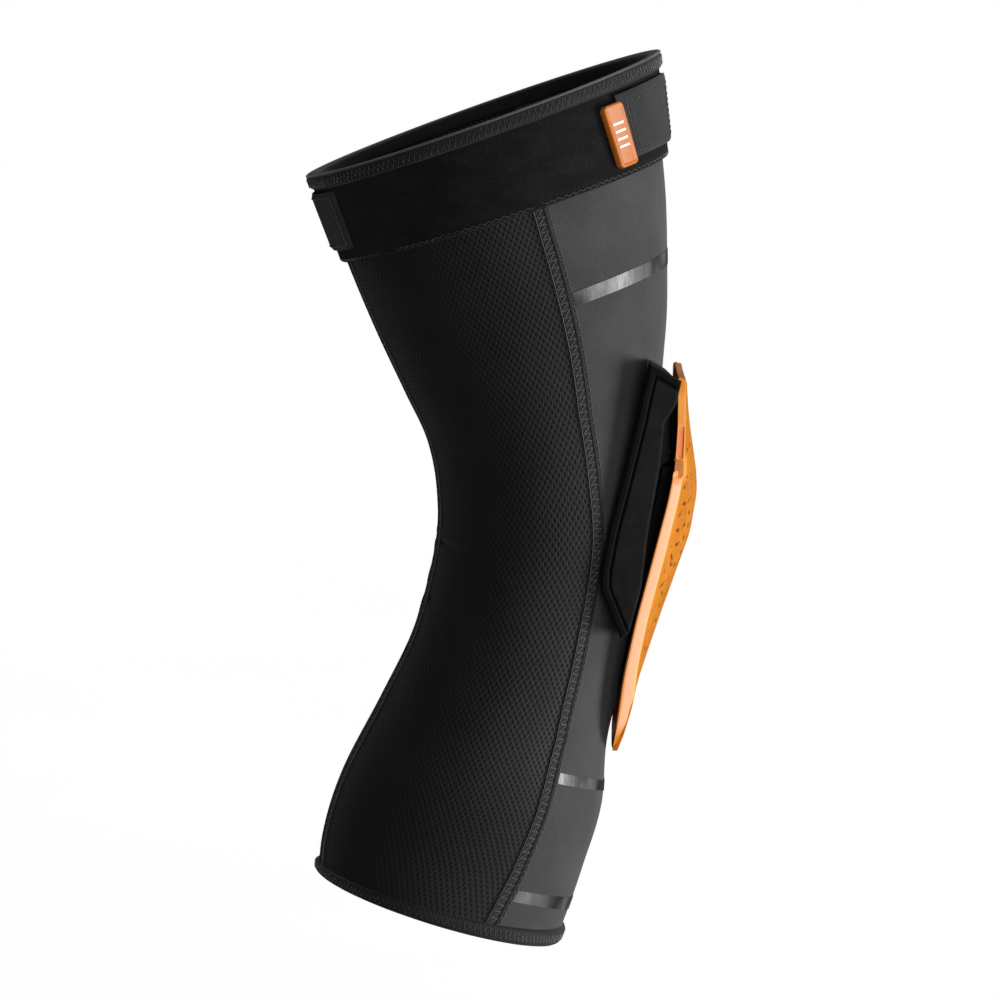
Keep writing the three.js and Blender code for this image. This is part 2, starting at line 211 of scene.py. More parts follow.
def new_object(name, mesh, material):
    obj = bpy.data.objects.new(name, mesh)
    bpy.context.scene.collection.objects.link(obj)
    mesh.materials.append(material)
    return obj


def solid(name, points, faces, material, sharp=None, uv=None):
    """Closed smooth mesh with its faces turned outwards, and edges kept sharp past an angle in degrees."""
    mesh = bpy.data.meshes.new(name)
    mesh.from_pydata(points.reshape(-1, 3).tolist(), [], faces)
    if uv is not None:
        layer = mesh.uv_layers.new(name="cloth")
        layer.data.foreach_set("uv", np.array(uv, np.float32).reshape(-1))
    mesh.polygons.foreach_set("use_smooth", [True] * len(mesh.polygons))
    if sharp is not None:
        mesh.set_sharp_from_angle(angle=math.radians(sharp))
    mesh.update()
    if signed_volume(mesh) < 0:
        mesh.flip_normals()
    return new_object(name, mesh, material)


def grid_shell(name, outer, inner, material, keep=None, sharp=40):
    """Closed shell between two grids of points (rows, columns, 3); keep says which cells are material."""
    rows, cols = outer.shape[:2]
    keep = np.ones((rows - 1, cols - 1), bool) if keep is None else keep
    steps = np.linalg.norm(np.diff(outer, axis=1), axis=2)
    across = np.concatenate([np.zeros((rows, 1)), np.cumsum(steps, axis=1)], axis=1)
    down = distances(outer[:, cols // 2])[:, None]
    uv = np.stack([across, np.broadcast_to(down, across.shape)], axis=-1)
    points = np.concatenate([outer.reshape(-1, 3), inner.reshape(-1, 3)])

    def at(side, r, c):
        return (side * rows + r) * cols + c

    r, c = np.nonzero(keep)
    corners = [(r, c), (r, c + 1), (r + 1, c + 1), (r + 1, c)]
    sets = [(0, corners), (1, corners[::-1])]
    faces = [np.stack([at(side, *corner) for corner in order], axis=1) for side, order in sets]
    coords = [np.stack([uv[corner] for corner in order], axis=1) for _, order in sets]
    edges = [((0, 1), (-1, 0)), ((1, 2), (0, 1)), ((2, 3), (1, 0)), ((3, 0), (0, -1))]
    for (first, second), (dr, dc) in edges:
        near_r, near_c = r + dr, c + dc
        outside = (near_r < 0) | (near_r >= rows - 1) | (near_c < 0) | (near_c >= cols - 1)
        open_edge = outside | ~keep[np.clip(near_r, 0, rows - 2), np.clip(near_c, 0, cols - 2)]
        p = tuple(index[open_edge] for index in corners[first])
        q = tuple(index[open_edge] for index in corners[second])
        faces.append(np.stack([at(0, *q), at(0, *p), at(1, *p), at(1, *q)], axis=1))
        coords.append(np.stack([uv[q], uv[p], uv[p], uv[q]], axis=1))
    faces = np.concatenate(faces)
    used, index = np.unique(faces, return_inverse=True)
    faces = index.reshape(faces.shape).tolist()
    return solid(name, points[used], faces, material, sharp, np.concatenate(coords))


def tubes(name, paths, radius, material, sides=6):
    """One mesh of thin round threads. Each path is (points, normals): arrays of shape (n, 3)."""
    points, faces, start = [], [], 0
    turn = 2 * np.pi * np.arange(sides)[:, None] / sides
    for line, normals in paths:
        tangent = unit(np.gradient(line, axis=0))
        side = unit(np.cross(tangent, normals))
        up = np.cross(side, tangent)
        points.append(line[:, None] + radius * (np.cos(turn) * side[:, None] + np.sin(turn) * up[:, None]))
        n = len(line)
        i, k = np.meshgrid(np.arange(n - 1), np.arange(sides), indexing="ij")
        a = start + i * sides + k
        b = start + i * sides + (k + 1) % sides
        faces += np.stack([a, b, b + sides, a + sides], axis=-1).reshape(-1, 4).tolist()
        faces.append(list(range(start, start + sides))[::-1])
        faces.append(list(range(start + (n - 1) * sides, start + n * sides)))
        start += n * sides
    return solid(name, np.concatenate(points), faces, material)


def on_leg(station, angle, offset):
    """A thread's path on the leg, with the leg's outward direction at each point."""
    station, angle = np.broadcast_arrays(np.asarray(station, float), np.asarray(angle, float))
    line = leg(station, angle, offset)
    return line, unit(leg(station, angle, offset + MM) - line)


def ripple(points, size, seed):
    """Smooth noise from -1 to 1 at each point."""
    shift = Vector((seed * 3.1, seed * 7.7, seed * 1.3))
    values = [noise.noise(Vector(p) + shift) for p in points.reshape(-1, 3) / size]
    return np.array(values).reshape(points.shape[:-1])


# ---- materials ------------------------------------------------------------------------------------

def opaque(color):
    """A colour with its alpha; one number stands for a grey."""
    return (color, color, color, 1) if isinstance(color, float) else (*color, 1)


class Shader:
    """A principled material with a few helpers for procedural detail."""

    def __init__(self, name, color, roughness, specular=0.3, **settings):
        self.material = bpy.data.materials.new(name)
        self.material.use_nodes = True
        self.nodes = self.material.node_tree.nodes
        self.links = self.material.node_tree.links
        self.principled = self.nodes["Principled BSDF"]
        self.set("Base Color", (*color, 1))
        self.set("Roughness", roughness)
        self.set("Specular IOR Level", specular)
        for key, value in settings.items():
            self.set(key.replace("_", " "), value)
        self.material.diffuse_color = (*color, 1)

    def set(self, socket, value):
        self.principled.inputs[socket].default_value = value

    def node(self, kind, inputs, **settings):
        """New node with these settings; each input is a value or another node's output."""
        node = self.nodes.new(kind)
        for key, value in settings.items():
            setattr(node, key, value)
        for key, value in inputs.items():
            if isinstance(value, bpy.types.NodeSocket):
                self.links.new(value, node.inputs[key])
            else:
                node.inputs[key].default_value = value
        return node

    def coords(self, kind="UV", scale=(1, 1, 1), turn=0.0):
        source = self.node("ShaderNodeTexCoord", {}).outputs[kind]
        mapping = self.node("ShaderNodeMapping", {"Vector": source, "Scale": scale, "Rotation": (0, 0, turn)})
        return mapping.outputs["Vector"]

    def noise(self, scale, detail=3.0, roughness=0.55, stretch=(1, 1, 1), turn=0.0):
        """Noise fixed to the object, about `scale` grains to a metre."""
        inputs = {"Vector": self.coords("Object", stretch, turn), "Scale": scale, "Detail": detail,
                  "Roughness": roughness}
        return self.node("ShaderNodeTexNoise", inputs).outputs["Fac"]

    def dots(self, pitch_u, pitch_v):
        """Distance to the nearest point of a staggered lattice on the cloth, pitches in metres."""
        vector = self.coords(scale=(1 / pitch_u, 1 / pitch_v, 1), turn=math.radians(45))
        inputs = {"Vector": vector, "Scale": 1.0, "Randomness": 0.0}
        return self.node("ShaderNodeTexVoronoi", inputs, voronoi_dimensions="2D").outputs["Distance"]

    def bands(self, vector, direction="X", distortion=0.0):
        """Soft bands across the vector, one for each unit of it."""
        # Blender's bands repeat every 2 pi / 20 units at scale 1, so this scale gives one band per unit.
        inputs = {"Vector": vector, "Scale": math.pi / 10, "Distortion": distortion}
        return self.node("ShaderNodeTexWave", inputs, bands_direction=direction).outputs["Fac"]

    def remap(self, value, low, high, to_low=0.0, to_high=1.0):
        inputs = {"Value": value, "From Min": low, "From Max": high, "To Min": to_low, "To Max": to_high}
        return self.node("ShaderNodeMapRange", inputs, interpolation_type="SMOOTHSTEP").outputs["Result"]

    def product(self, a, b):
        return self.node("ShaderNodeMath", {0: a, 1: b}, operation="MULTIPLY").outputs[0]

    def mix(self, factor, a, b, blend_type="MIX"):
        inputs = {"Factor": factor, "A": a, "B": b}
        return self.node("ShaderNodeMix", inputs, data_type="RGBA", blend_type=blend_type).outputs["Result"]

    def tint(self, factor, low, high):
        """Base colour from low to high as factor goes from 0 to 1; chained calls multiply."""
        result = self.mix(factor, opaque(low), opaque(high))
        linked = self.principled.inputs["Base Color"].links
        if linked:
            result = self.mix(1.0, linked[0].from_socket, result, "MULTIPLY")
        self.links.new(result, self.principled.inputs["Base Color"])

    def mottle(self, value, low, high, span=(0.3, 0.7)):
        """Tint by a noise, which goes from low to high over its span."""
        self.tint(self.remap(value, *span), low, high)

    def towards(self, attribute, color):
        """Base colour moves to this colour as the mesh attribute goes from 0 to 1."""
        base = self.principled.inputs["Base Color"]
        self.links.new(self.mix(self.attribute(attribute), base.links[0].from_socket, (*color, 1)), base)

    def rough(self, factor, low, high):
        self.links.new(self.remap(factor, 0, 1, low, high), self.principled.inputs["Roughness"])

    def bump(self, height, distance, strength):
        """Adds a bump of that height in mm on top of the ones before."""
        inputs = {"Height": height, "Distance": distance * MM, "Strength": strength}
        node = self.node("ShaderNodeBump", inputs)
        linked = self.principled.inputs["Normal"].links
        if linked:
            self.links.new(linked[0].from_socket, node.inputs["Normal"])
        self.links.new(node.outputs["Normal"], self.principled.inputs["Normal"])

    def attribute(self, name):
        return self.node("ShaderNodeAttribute", {}, attribute_name=name).outputs["Fac"]


def scaled(color, factor):
    return tuple(factor * value for value in color)


def front_fabric():
    """Smooth dark grey two-way stretch, a fine knit with a soft sheen."""
    color = (0.0365, 0.0355, 0.036)
    s = Shader("front_fabric", color, 0.85, specular=0.2, Sheen_Weight=0.15, Sheen_Roughness=0.45)
    s.set("Sheen Tint", (0.8, 0.8, 0.82, 1))
    fuzz = s.noise(1400, detail=2)
    s.mottle(s.noise(38, detail=5), scaled(color, 0.84), scaled(color, 1.14), (0.3, 0.72))
    s.mottle(fuzz, 0.86, 1.1)
    s.bump(s.dots(0.55 * MM, 0.85 * MM), 0.05, 0.5)
    s.bump(fuzz, 0.06, 0.4)
    return s.material


def mesh_fabric():
    """Black stretch mesh, a staggered lattice of small upright holes."""
    color = (0.0076, 0.0074, 0.0076)
    s = Shader("mesh_fabric", color, 0.56, specular=0.16, Sheen_Weight=0.1, Sheen_Roughness=0.35)
    # The holes are tinted darker than the threads: painted shade for the dark seen through them.
    holes = s.remap(s.dots(1.75 * MM, 2.6 * MM), 0.14, 0.44)
    s.tint(holes, (0.004, 0.004, 0.0042), color)
    s.mottle(s.noise(30, detail=4), 0.82, 1.22)
    s.bump(holes, 0.3, 0.7)
    s.bump(s.noise(1500, detail=2), 0.05, 0.35)
    s.rough(holes, 0.85, 0.56)
    return s.material


def loop_pile():
    """Brushed black loop pile."""
    color = (0.0056, 0.0056, 0.0057)
    s = Shader("loop_pile", color, 0.95, specular=0.06, Sheen_Weight=0.03, Sheen_Roughness=0.6)
    pile = s.noise(900, roughness=0.7)
    nap = s.noise(55, detail=5, stretch=(1, 1, 2.2))
    s.mottle(nap, scaled(color, 0.75), scaled(color, 1.35))
    s.mottle(pile, 0.7, 1.25)
    s.bump(pile, 0.35, 0.6)
    s.bump(nap, 0.3, 0.3)
    return s.material


def elastic(name, color, rib, roughness=0.7):
    """Woven elastic: ribs across the band, so many mm apart, with a fine weave on them."""
    s = Shader(name, color, roughness, specular=0.18, Sheen_Weight=0.1, Sheen_Roughness=0.4)
    ribs = s.bands(s.coords(scale=(1 / (rib * MM), 1 / (rib * MM), 1)))
    s.mottle(ribs, scaled(color, 0.7), scaled(color, 1.15), (0, 1))
    s.mottle(s.noise(60, detail=4), 0.85, 1.15)
    s.bump(ribs, 0.14, 0.7)
    s.bump(s.dots(0.5 * MM, 0.5 * MM), 0.06, 0.5)
    return s.material


def thread(name, color):
    """Twisted sewing thread."""
    s = Shader(name, color, 0.55, specular=0.35, Sheen_Weight=0.25, Sheen_Roughness=0.3)
    twist = s.noise(2600, detail=1)
    s.mottle(twist, scaled(color, 0.6), scaled(color, 1.2), (0.35, 0.65))
    s.bump(twist, 0.08, 0.5)
    return s.material


def reflective_tape():
    """Heat-applied silver-grey tape: broad soft light and dark patches and fine slanting scratches."""
    s = Shader("reflective_tape", (0.2, 0.2, 0.202), 0.38, Metallic=0.1)
    patches = s.noise(62, detail=2, roughness=0.4, stretch=(1, 1, 0.5))
    streak = s.noise(520, detail=4, stretch=(1, 1, 0.3), turn=0.6)
    s.mottle(patches, (0.01, 0.01, 0.0105), (0.085, 0.085, 0.087), (0.38, 0.6))
    s.mottle(streak, 0.66, 1.2)
    s.rough(streak, 0.45, 0.22)
    s.bump(streak, 0.08, 0.5)
    return s.material


def wing_foam():
    """Black moulded foam rubber; the face inside the border is finely ribbed."""
    color = (0.0052, 0.0052, 0.0054)
    s = Shader("wing_foam", color, 0.8, specular=0.08, Sheen_Weight=0.02)
    face = s.attribute("texture")
    height = s.coords("Object", scale=(0, 0, 1 / (1.05 * MM)))
    ribs = s.product(s.bands(height, "Z", 0.6), face)
    grain = s.noise(1300)
    s.tint(face, scaled(color, 0.22), scaled(color, 1.25))
    s.mottle(ribs, 0.9, 1.15, (0, 1))
    s.mottle(s.noise(130, detail=4), 0.75, 1.2)
    s.mottle(grain, 0.85, 1.2)
    s.bump(ribs, 0.16, 0.7)
    s.bump(grain, 0.1, 0.5)
    return s.material


def liner_foam():
    color = (0.0075, 0.0075, 0.008)
    s = Shader("liner_foam", color, 0.88, specular=0.15)
    s.mottle(s.noise(80), scaled(color, 0.7), scaled(color, 1.4))
    s.bump(s.noise(1100), 0.15, 0.6)
    return s.material


def cap_rubber():
    """Semi-matt orange rubber, with light and shade painted in through mesh attributes."""
    s = Shader("cap_rubber", (0.72, 0.25, 0.026), 0.5, specular=0.2)
    s.set("Subsurface Weight", 0.03)
    s.set("Subsurface Radius", (0.004, 0.0015, 0.0006))
    s.set("Subsurface Scale", 0.5)
    grain = s.noise(1600, detail=2)
    s.mottle(s.noise(70, detail=5), (0.43, 0.13, 0.003), (0.48, 0.172, 0.007))
    # Painted highlight: a light salmon tint on the lit outer faces of the lower side strips.
    s.towards("painted_highlight", (0.83, 0.35, 0.195))
    # Darker orange on the recessed windows of the upper strips and on the tip; on the inner faces of the
    # shell and strips this is painted shade.
    s.towards("deep_tone_and_shade", (0.44, 0.09, 0.001))
    # Painted highlight along the side strips' edges and on the shaded ends of the bridge at the notch.
    s.towards("rim", (0.8, 0.34, 0.1))
    # Painted shade: dark red-brown in the moulded grooves.
    s.towards("groove", (0.15, 0.018, 0.003))
    s.rough(grain, 0.4, 0.54)
    s.bump(grain, 0.03, 0.5)
    return s.material


def label_rubber():
    s = Shader("label_rubber", (0.4, 0.105, 0.01), 0.42)
    grain = s.noise(900)
    s.mottle(grain, (0.36, 0.094, 0.007), (0.42, 0.12, 0.012))
    s.rough(grain, 0.3, 0.46)
    s.bump(grain, 0.03, 0.5)
    return s.material


def white_print():
    s = Shader("white_print", (0.82, 0.8, 0.76), 0.5)
    s.mottle(s.noise(1200), (0.74, 0.7, 0.64), (0.86, 0.85, 0.82))
    return s.material


def silicone():
    s = Shader("silicone", (0.02, 0.02, 0.022), 0.35, specular=0.4)
    grain = s.noise(500)
    s.mottle(grain, (0.014, 0.014, 0.016), (0.03, 0.03, 0.032))
    s.bump(grain, 0.08, 0.4)
    return s.material


def floor_paint():
    s = Shader("floor_paint", (0.93, 0.93, 0.93), 0.7, specular=0.1)
    s.set("Emission Color", (1, 1, 1, 1))
    s.set("Emission Strength", 0.5)
    s.mottle(s.noise(3), 0.92, 0.94)
    return s.material


GREY_STRETCH = front_fabric()
BLACK_MESH = mesh_fabric()
LOOP_PILE = loop_pile()
BINDING = elastic("binding", (0.0095, 0.0093, 0.0095), rib=1.3)
WEBBING = elastic("webbing", (0.019, 0.0188, 0.0188), rib=0.9)
TAB_FABRIC = elastic("tab_fabric", (0.02, 0.0197, 0.0202), rib=0.8, roughness=0.8)
GREY_THREAD = thread("grey_thread", (0.055, 0.055, 0.057))
DARK_THREAD = thread("dark_thread", (0.032, 0.032, 0.033))
SEAM_TAPE = elastic("seam_tape", (0.012, 0.012, 0.0125), rib=0.7)
TAPE = reflective_tape()
WING_FOAM = wing_foam()
LINER_FOAM = liner_foam()
CAP_RUBBER = cap_rubber()
LABEL_RUBBER = label_rubber()
WHITE_PRINT = white_print()
SILICONE = silicone()

# ---- the CAD sleeve's sections and what pieces stand for -------------------------------------------

SECTIONS = ("thigh", "knee", "shank")  # the CAD sleeve is in three sections


def bends_with_knee(obj):
    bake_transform(obj)


def fit(obj, body, node):
    """The piece rides on a body, in the place of a CAD node."""
    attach(obj, body)
    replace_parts(obj, node)


# ---- sleeve ---------------------------------------------------------------------------------------

SLEEVE_ROWS = 330
CLOTH_WAVE, CLOTH_WAVE_SIZE = 0.35, 0.03  # height in mm and length in metres of the cloth's small waves
CREASES = [(5.86, 1.5, 0.1), (6.56, 1.2, 0.13)]  # station, depth in mm, half height in stations
CREASE_END = 0.72  # cosine of the angle from the rear where the folds end
KNEE_BULGE, KNEE_STATION, KNEE_HALF_HEIGHT, KNEE_HALF_ANGLE = 4.0, 4.75, 0.52, 30


def cloth_offset(station, angle, seed):
    """Small waves of the cloth, and the two folds at the back of the knee."""
    offset = CLOTH_WAVE * MM * ripple(leg(station, angle), CLOTH_WAVE_SIZE, seed)
    back = ramp(np.cos(np.radians(angle - 180)), CREASE_END, 1 - CREASE_END) ** 0.7
    for where, depth, reach in CREASES:
        sag = where + 0.05 * np.sin(np.radians(angle * 3)) - station
        groove = np.exp(-(sag / (0.35 * reach)) ** 2)
        puff = np.exp(-((np.abs(sag) - 1.2 * reach) / reach) ** 2)
        offset = offset + back * MM * (0.3 * depth * puff - depth * groove)
    # The kneecap fills the sleeve out behind the notch of the cap.
    front_angle = (angle + 180) % 360 - 180
    knee = np.exp(-((station - KNEE_STATION) / KNEE_HALF_HEIGHT) ** 4 - (front_angle / KNEE_HALF_ANGLE) ** 2)
    return offset + KNEE_BULGE * MM * knee


def panel(name, angle_from, angle_to, cols, material, seed):
    station = np.linspace(SLEEVE_TOP, SLEEVE_BOTTOM, SLEEVE_ROWS)[:, None]
    share = np.linspace(0, 1, cols)[None, :]
    angle = angle_from(station) * (1 - share) + angle_to(station) * share
    station = np.broadcast_to(station, angle.shape)
    offset = cloth_offset(station, angle, seed)
    obj = grid_shell(name, leg(station, angle, offset), leg(station, angle, offset - FABRIC), material)
    bends_with_knee(obj)
    return obj


for name, angle_from, angle_to, cols, material, seed, slot in (
        ("front_panel", lambda s: -outer_seam(s), outer_seam, 110, GREY_STRETCH, 1, "front_fabric"),
        ("mesh_panel_lateral", outer_seam, rear_seam, 90, BLACK_MESH, 2, "mesh_fabric"),
        ("mesh_panel_medial", rear_seam, inner_seam, 110, BLACK_MESH, 3, "mesh_fabric")):
    obj = panel(name, angle_from, angle_to, cols, material, seed)
    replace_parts(obj, *(f"{section}_{name}" for section in SECTIONS))


def seam_angle(angle, station, width):
    return angle(station) + degrees_for(width, station)


def flatlock(name, angle, front_side):
    """Flatlock seam: a black tape, a grey cord on its mesh side, zigzag stitches over it and a chain of
    short stitches on the front panel. front_side is -1 if the front panel lies towards smaller angles."""
    tape_half, zigzag_half, chain_at = 2.5, 1.9, 3.5  # mm
    pitch = 3.1 * MM
    rows = np.linspace(CUFF_END + 0.01, SLEEVE_BOTTOM - 0.02, SLEEVE_ROWS)[:, None]
    across = np.array([-1, -0.85, 0.55, 0.7, 1, 1.15])[None, :] * tape_half * MM
    rise = np.array([0.15, 0.6, 0.6, 1.0, 1.0, 0.15])[None, :] * MM
    angles = seam_angle(angle, rows, across * front_side)
    stations = np.broadcast_to(rows, angles.shape)
    outer = leg(stations, angles, rise + 0.05 * MM)
    tape = grid_shell(f"{name}_tape", outer, leg(stations, angles, -0.2 * MM), SEAM_TAPE)
    travelled = distances(leg(rows[:, 0], angle(rows[:, 0])))
    count = int(travelled[-1] / pitch)

    def path(distance, width, offset):
        station = np.interp(distance, travelled, rows[:, 0])
        return on_leg(station, seam_angle(angle, station, width * front_side), offset)

    # Each stitch crosses straight and comes back on the slant.
    stitch = np.arange(count)
    distance = np.stack([stitch + 0.02, stitch + 0.12, stitch + 0.95], axis=1).reshape(-1) * pitch
    width = np.tile([-zigzag_half, 1.2, -zigzag_half], count) * MM
    fine = np.linspace(0, len(distance) - 1, (len(distance) - 1) * 3 + 1)
    zigzag = path(np.interp(fine, np.arange(len(distance)), distance),
                  np.interp(fine, np.arange(len(width)), width), 0.8 * MM)
    along = np.linspace(0, travelled[-1], 700)
    cord = path(along, -tape_half * MM + 0 * along, 0.75 * MM)
    chain = []
    for k in range(count):
        step = (k + np.linspace(0.12, 0.88, 6)) * pitch
        bow = 0.35 * np.sin(np.linspace(0, np.pi, 6))
        line, outward = path(step, (chain_at + bow) * MM, 0.0)
        chain.append((line + outward * (0.1 + bow[:, None]) * MM, outward))
    threads = tubes(f"{name}_zigzag", [zigzag, cord], 0.19 * MM, GREY_THREAD)
    dashes = tubes(f"{name}_chain", chain, 0.2 * MM, GREY_THREAD, sides=5)
    for obj in (tape, threads, dashes):
        bends_with_knee(obj)
    return tape


for name, angle, side in (("lateral", outer_seam, -1), ("medial", inner_seam, 1), ("rear", rear_seam, 1)):
    tape = flatlock(f"seam_{name}", angle, side)
    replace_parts(tape, *(f"{section}_seam_{name}" for section in SECTIONS))


def stripe(name, station, height, rise):
    """Tape stripe across the front panel from seam to seam, its ends higher by `rise` stations."""
    across = np.linspace(-1, 1, 160)[None, :]
    rows = np.linspace(station - height / 2, station + height / 2, 12)[:, None] - rise * np.abs(across)
    angles = across * (outer_seam(rows) - degrees_for(4.4 * MM, rows))
    offset = cloth_offset(rows, angles, 1)
    obj = grid_shell(name, leg(rows, angles, offset + 0.28 * MM), leg(rows, angles, offset - 0.3 * MM), TAPE)
    bends_with_knee(obj)
    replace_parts(obj, name)


stripe("thigh_tape_stripe", 2.33, 0.2, 0)
stripe("shank_tape_stripe_upper", 8.74, 0.15, 0.24)
stripe("shank_tape_stripe_lower", 10.5, 0.17, 0.17)


def hoop(name, section, material, wobble=0.15, seed=5):
    """Closed band round the leg; section is a loop of (station, offset in mm), wobble is in mm."""
    section = np.array(section, float)
    steps, count = 300, len(section)
    angles = np.linspace(0, 360, steps + 1)
    station, angle = np.broadcast_arrays(section[:, 0][None, :], angles[:, None])
    offset = section[:, 1] * MM + wobble * MM * ripple(leg(station, angle), 0.012, seed)
    points = leg(station, angle, offset)[:-1]
    rim = distances(leg(section[0, 0], angles))
    down = distances(np.vstack([points[0], points[0, :1]]))
    faces, coords = [], []
    for i in range(steps):
        for k in range(count):
            j, n = (i + 1) % steps, (k + 1) % count
            faces.append([i * count + k, j * count + k, j * count + n, i * count + n])
            coords += [(rim[a], down[b]) for a, b in ((i, k), (i + 1, k), (i + 1, k + 1), (i, k + 1))]
    return solid(name, points, faces, material, 50, coords)


def rounded(station_from, station_to, inner, outer, corner_station, corner_offset):
    """Section of a flat band with rounded corners, as (station, offset in mm)."""
    section = []
    for at, offset, begin in ((station_to - corner_station, outer - corner_offset, 0),
                              (station_from + corner_station, outer - corner_offset, 90),
                              (station_from + corner_station, inner + corner_offset, 180),
                              (station_to - corner_station, inner + corner_offset, 270)):
        for k in range(5):
            turn = math.radians(begin + 22.5 * k)
            section.append((at + corner_station * math.cos(turn), offset + corner_offset * math.sin(turn)))
    return section


def around(name, low, high, offset, pitch, body):
    """Zigzag stitches round the leg between two stations, one zig and zag per pitch; lengths in mm."""
    girth = math.radians(360) * float(mean_radius((low + high) / 2))
    count = int(girth / (pitch * MM)) * 2
    station = np.where(np.arange(count + 1) % 2, low, high)
    path = on_leg(station, np.linspace(0, 360, count + 1), offset * MM)
    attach(tubes(name, [path], 0.17 * MM, DARK_THREAD), body)


hem_section = rounded(-0.01, HEM_TOP_END + 0.03, -2.6, 3.6, 0.035, 2.0)
fit(hoop("top_hem_band", hem_section, BINDING), "thigh", "top_hem")
hem_section = rounded(SLEEVE_BOTTOM - 0.04, LAST + 0.02, -2.6, 1.9, 0.08, 2.0)
fit(hoop("bottom_hem_band", hem_section, BINDING), "shank", "bottom_hem")
cuff_section = rounded(HEM_TOP_END, CUFF_END, 0.3, 2.5, 0.03, 1.0)
fit(hoop("loop_cuff_band", cuff_section, LOOP_PILE, wobble=0.35, seed=8), "thigh", "loop_cuff")

around("top_hem_stitches", 0.035, 0.115, 3.85, 2.4, "thigh")
hem_edge = on_leg(0.0, np.linspace(0, 360, 500), 3.2 * MM)
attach(tubes("top_hem_edge", [hem_edge], 0.5 * MM, GREY_THREAD), "thigh")
around("loop_cuff_stitches", 0.93, 0.955, 2.55, 3.2, "thigh")
around("bottom_hem_stitches", 10.84, 10.95, 2.0, 2.2, "shank")

# ---- strap ----------------------------------------------------------------------------------------

STRAP_INNER, STRAP_OUTER = 2.9, 4.5


def leaning(angle, station):
    """The tab's free end leans forward towards the bottom; its front edge does not."""
    share = np.clip((angle - TAB_FRONT) / (TAB_END - TAB_FRONT), 0, None) * (angle < 90)
    return angle - TAB_LEAN * (station - 0.5) * np.minimum(share, 1)


def strap_grid(stations, angles, rows, cols):
    station, angle = np.meshgrid(np.linspace(*stations, rows), np.linspace(*angles, cols), indexing="ij")
    return station, leaning(angle, station)


def slab(name, stations, angles, offsets, material, rows=24, cols=48, corner=1.0):
    """Patch wrapped on the leg with softened edges; offsets (inner, outer) in mm."""
    grid_station, grid_angle = strap_grid(stations, angles, rows, cols)
    edge = np.minimum(from_ends(rows)[:, None], from_ends(cols)[None, :])
    drop = corner * np.where(edge == 0, 0.75, np.where(edge == 1, 0.22, 0.0))
    outer = leg(grid_station, grid_angle, (offsets[1] - drop) * MM)
    inner = leg(grid_station, grid_angle, offsets[0] * MM)
    return grid_shell(name, outer, inner, material)


def stitched_outline(name, stations, angles, offset, inset, material=DARK_THREAD):
    """A row of stitches just inside the four edges of a patch."""
    s0, s1 = stations[0] + inset[0], stations[1] - inset[0]
    a0, a1 = angles[0] + inset[1], angles[1] - inset[1]
    corners = [(s0, a0), (s0, a1), (s1, a1), (s1, a0), (s0, a0)]
    paths = []
    for (sa, aa), (sb, ab) in zip(corners, corners[1:]):
        length = np.linalg.norm(leg(sb, ab) - leg(sa, aa))
        count = max(2, int(length / (2.2 * MM)))
        for k in range(count):
            share = (k + np.linspace(0.12, 0.88, 5)) / count
            station = sa + (sb - sa) * share
            line, outward = on_leg(station, leaning(aa + (ab - aa) * share, station), offset * MM)
            bow = np.sin(np.linspace(0, np.pi, 5))[:, None]
            paths.append((line + outward * bow * 0.18 * MM, outward))
    return tubes(name, paths, 0.17 * MM, material, sides=5)


strap_stations = (STRAP_FROM, STRAP_TO)
anchor = slab("strap_anchor", strap_stations, (ANCHOR_FROM, ANCHOR_TO), (STRAP_INNER, STRAP_OUTER), WEBBING)
fit(anchor, "thigh", "strap_anchor_tab")
strap = slab("strap_band", (STRAP_FROM + 0.02, STRAP_TO - 0.02), (ANCHOR_TO + 0.3, 360 + TAB_FRONT - 0.4),
             (STRAP_INNER, STRAP_OUTER - 0.2), WEBBING, cols=220)
fit(strap, "thigh", "elastic_strap")
tab = slab("strap_tab_band", strap_stations, (TAB_FRONT, TAB_END + 1), (3.9, 5.2), TAB_FABRIC)
fit(tab, "strap_tab", "strap_hook_tab")
hooks = slab("strap_hooks", (0.24, 0.77), (TAB_FRONT + 4, TAB_END - 3), (STRAP_INNER, 3.8), SEAM_TAPE)
fit(hooks, "strap_tab", "strap_hook_patch")
for name, inset in (("strap_tab_stitches", (0.06, 2.2)), ("strap_tab_stitches_inner", (0.1, 3.8))):
    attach(stitched_outline(name, strap_stations, (TAB_FRONT, TAB_END), 5.25, inset), "strap_tab")
anchor_stitches = stitched_outline("strap_anchor_stitches", strap_stations, (ANCHOR_FROM, ANCHOR_TO), 4.55,
                                   (0.05, 2.0), GREY_THREAD)
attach(anchor_stitches, "thigh")


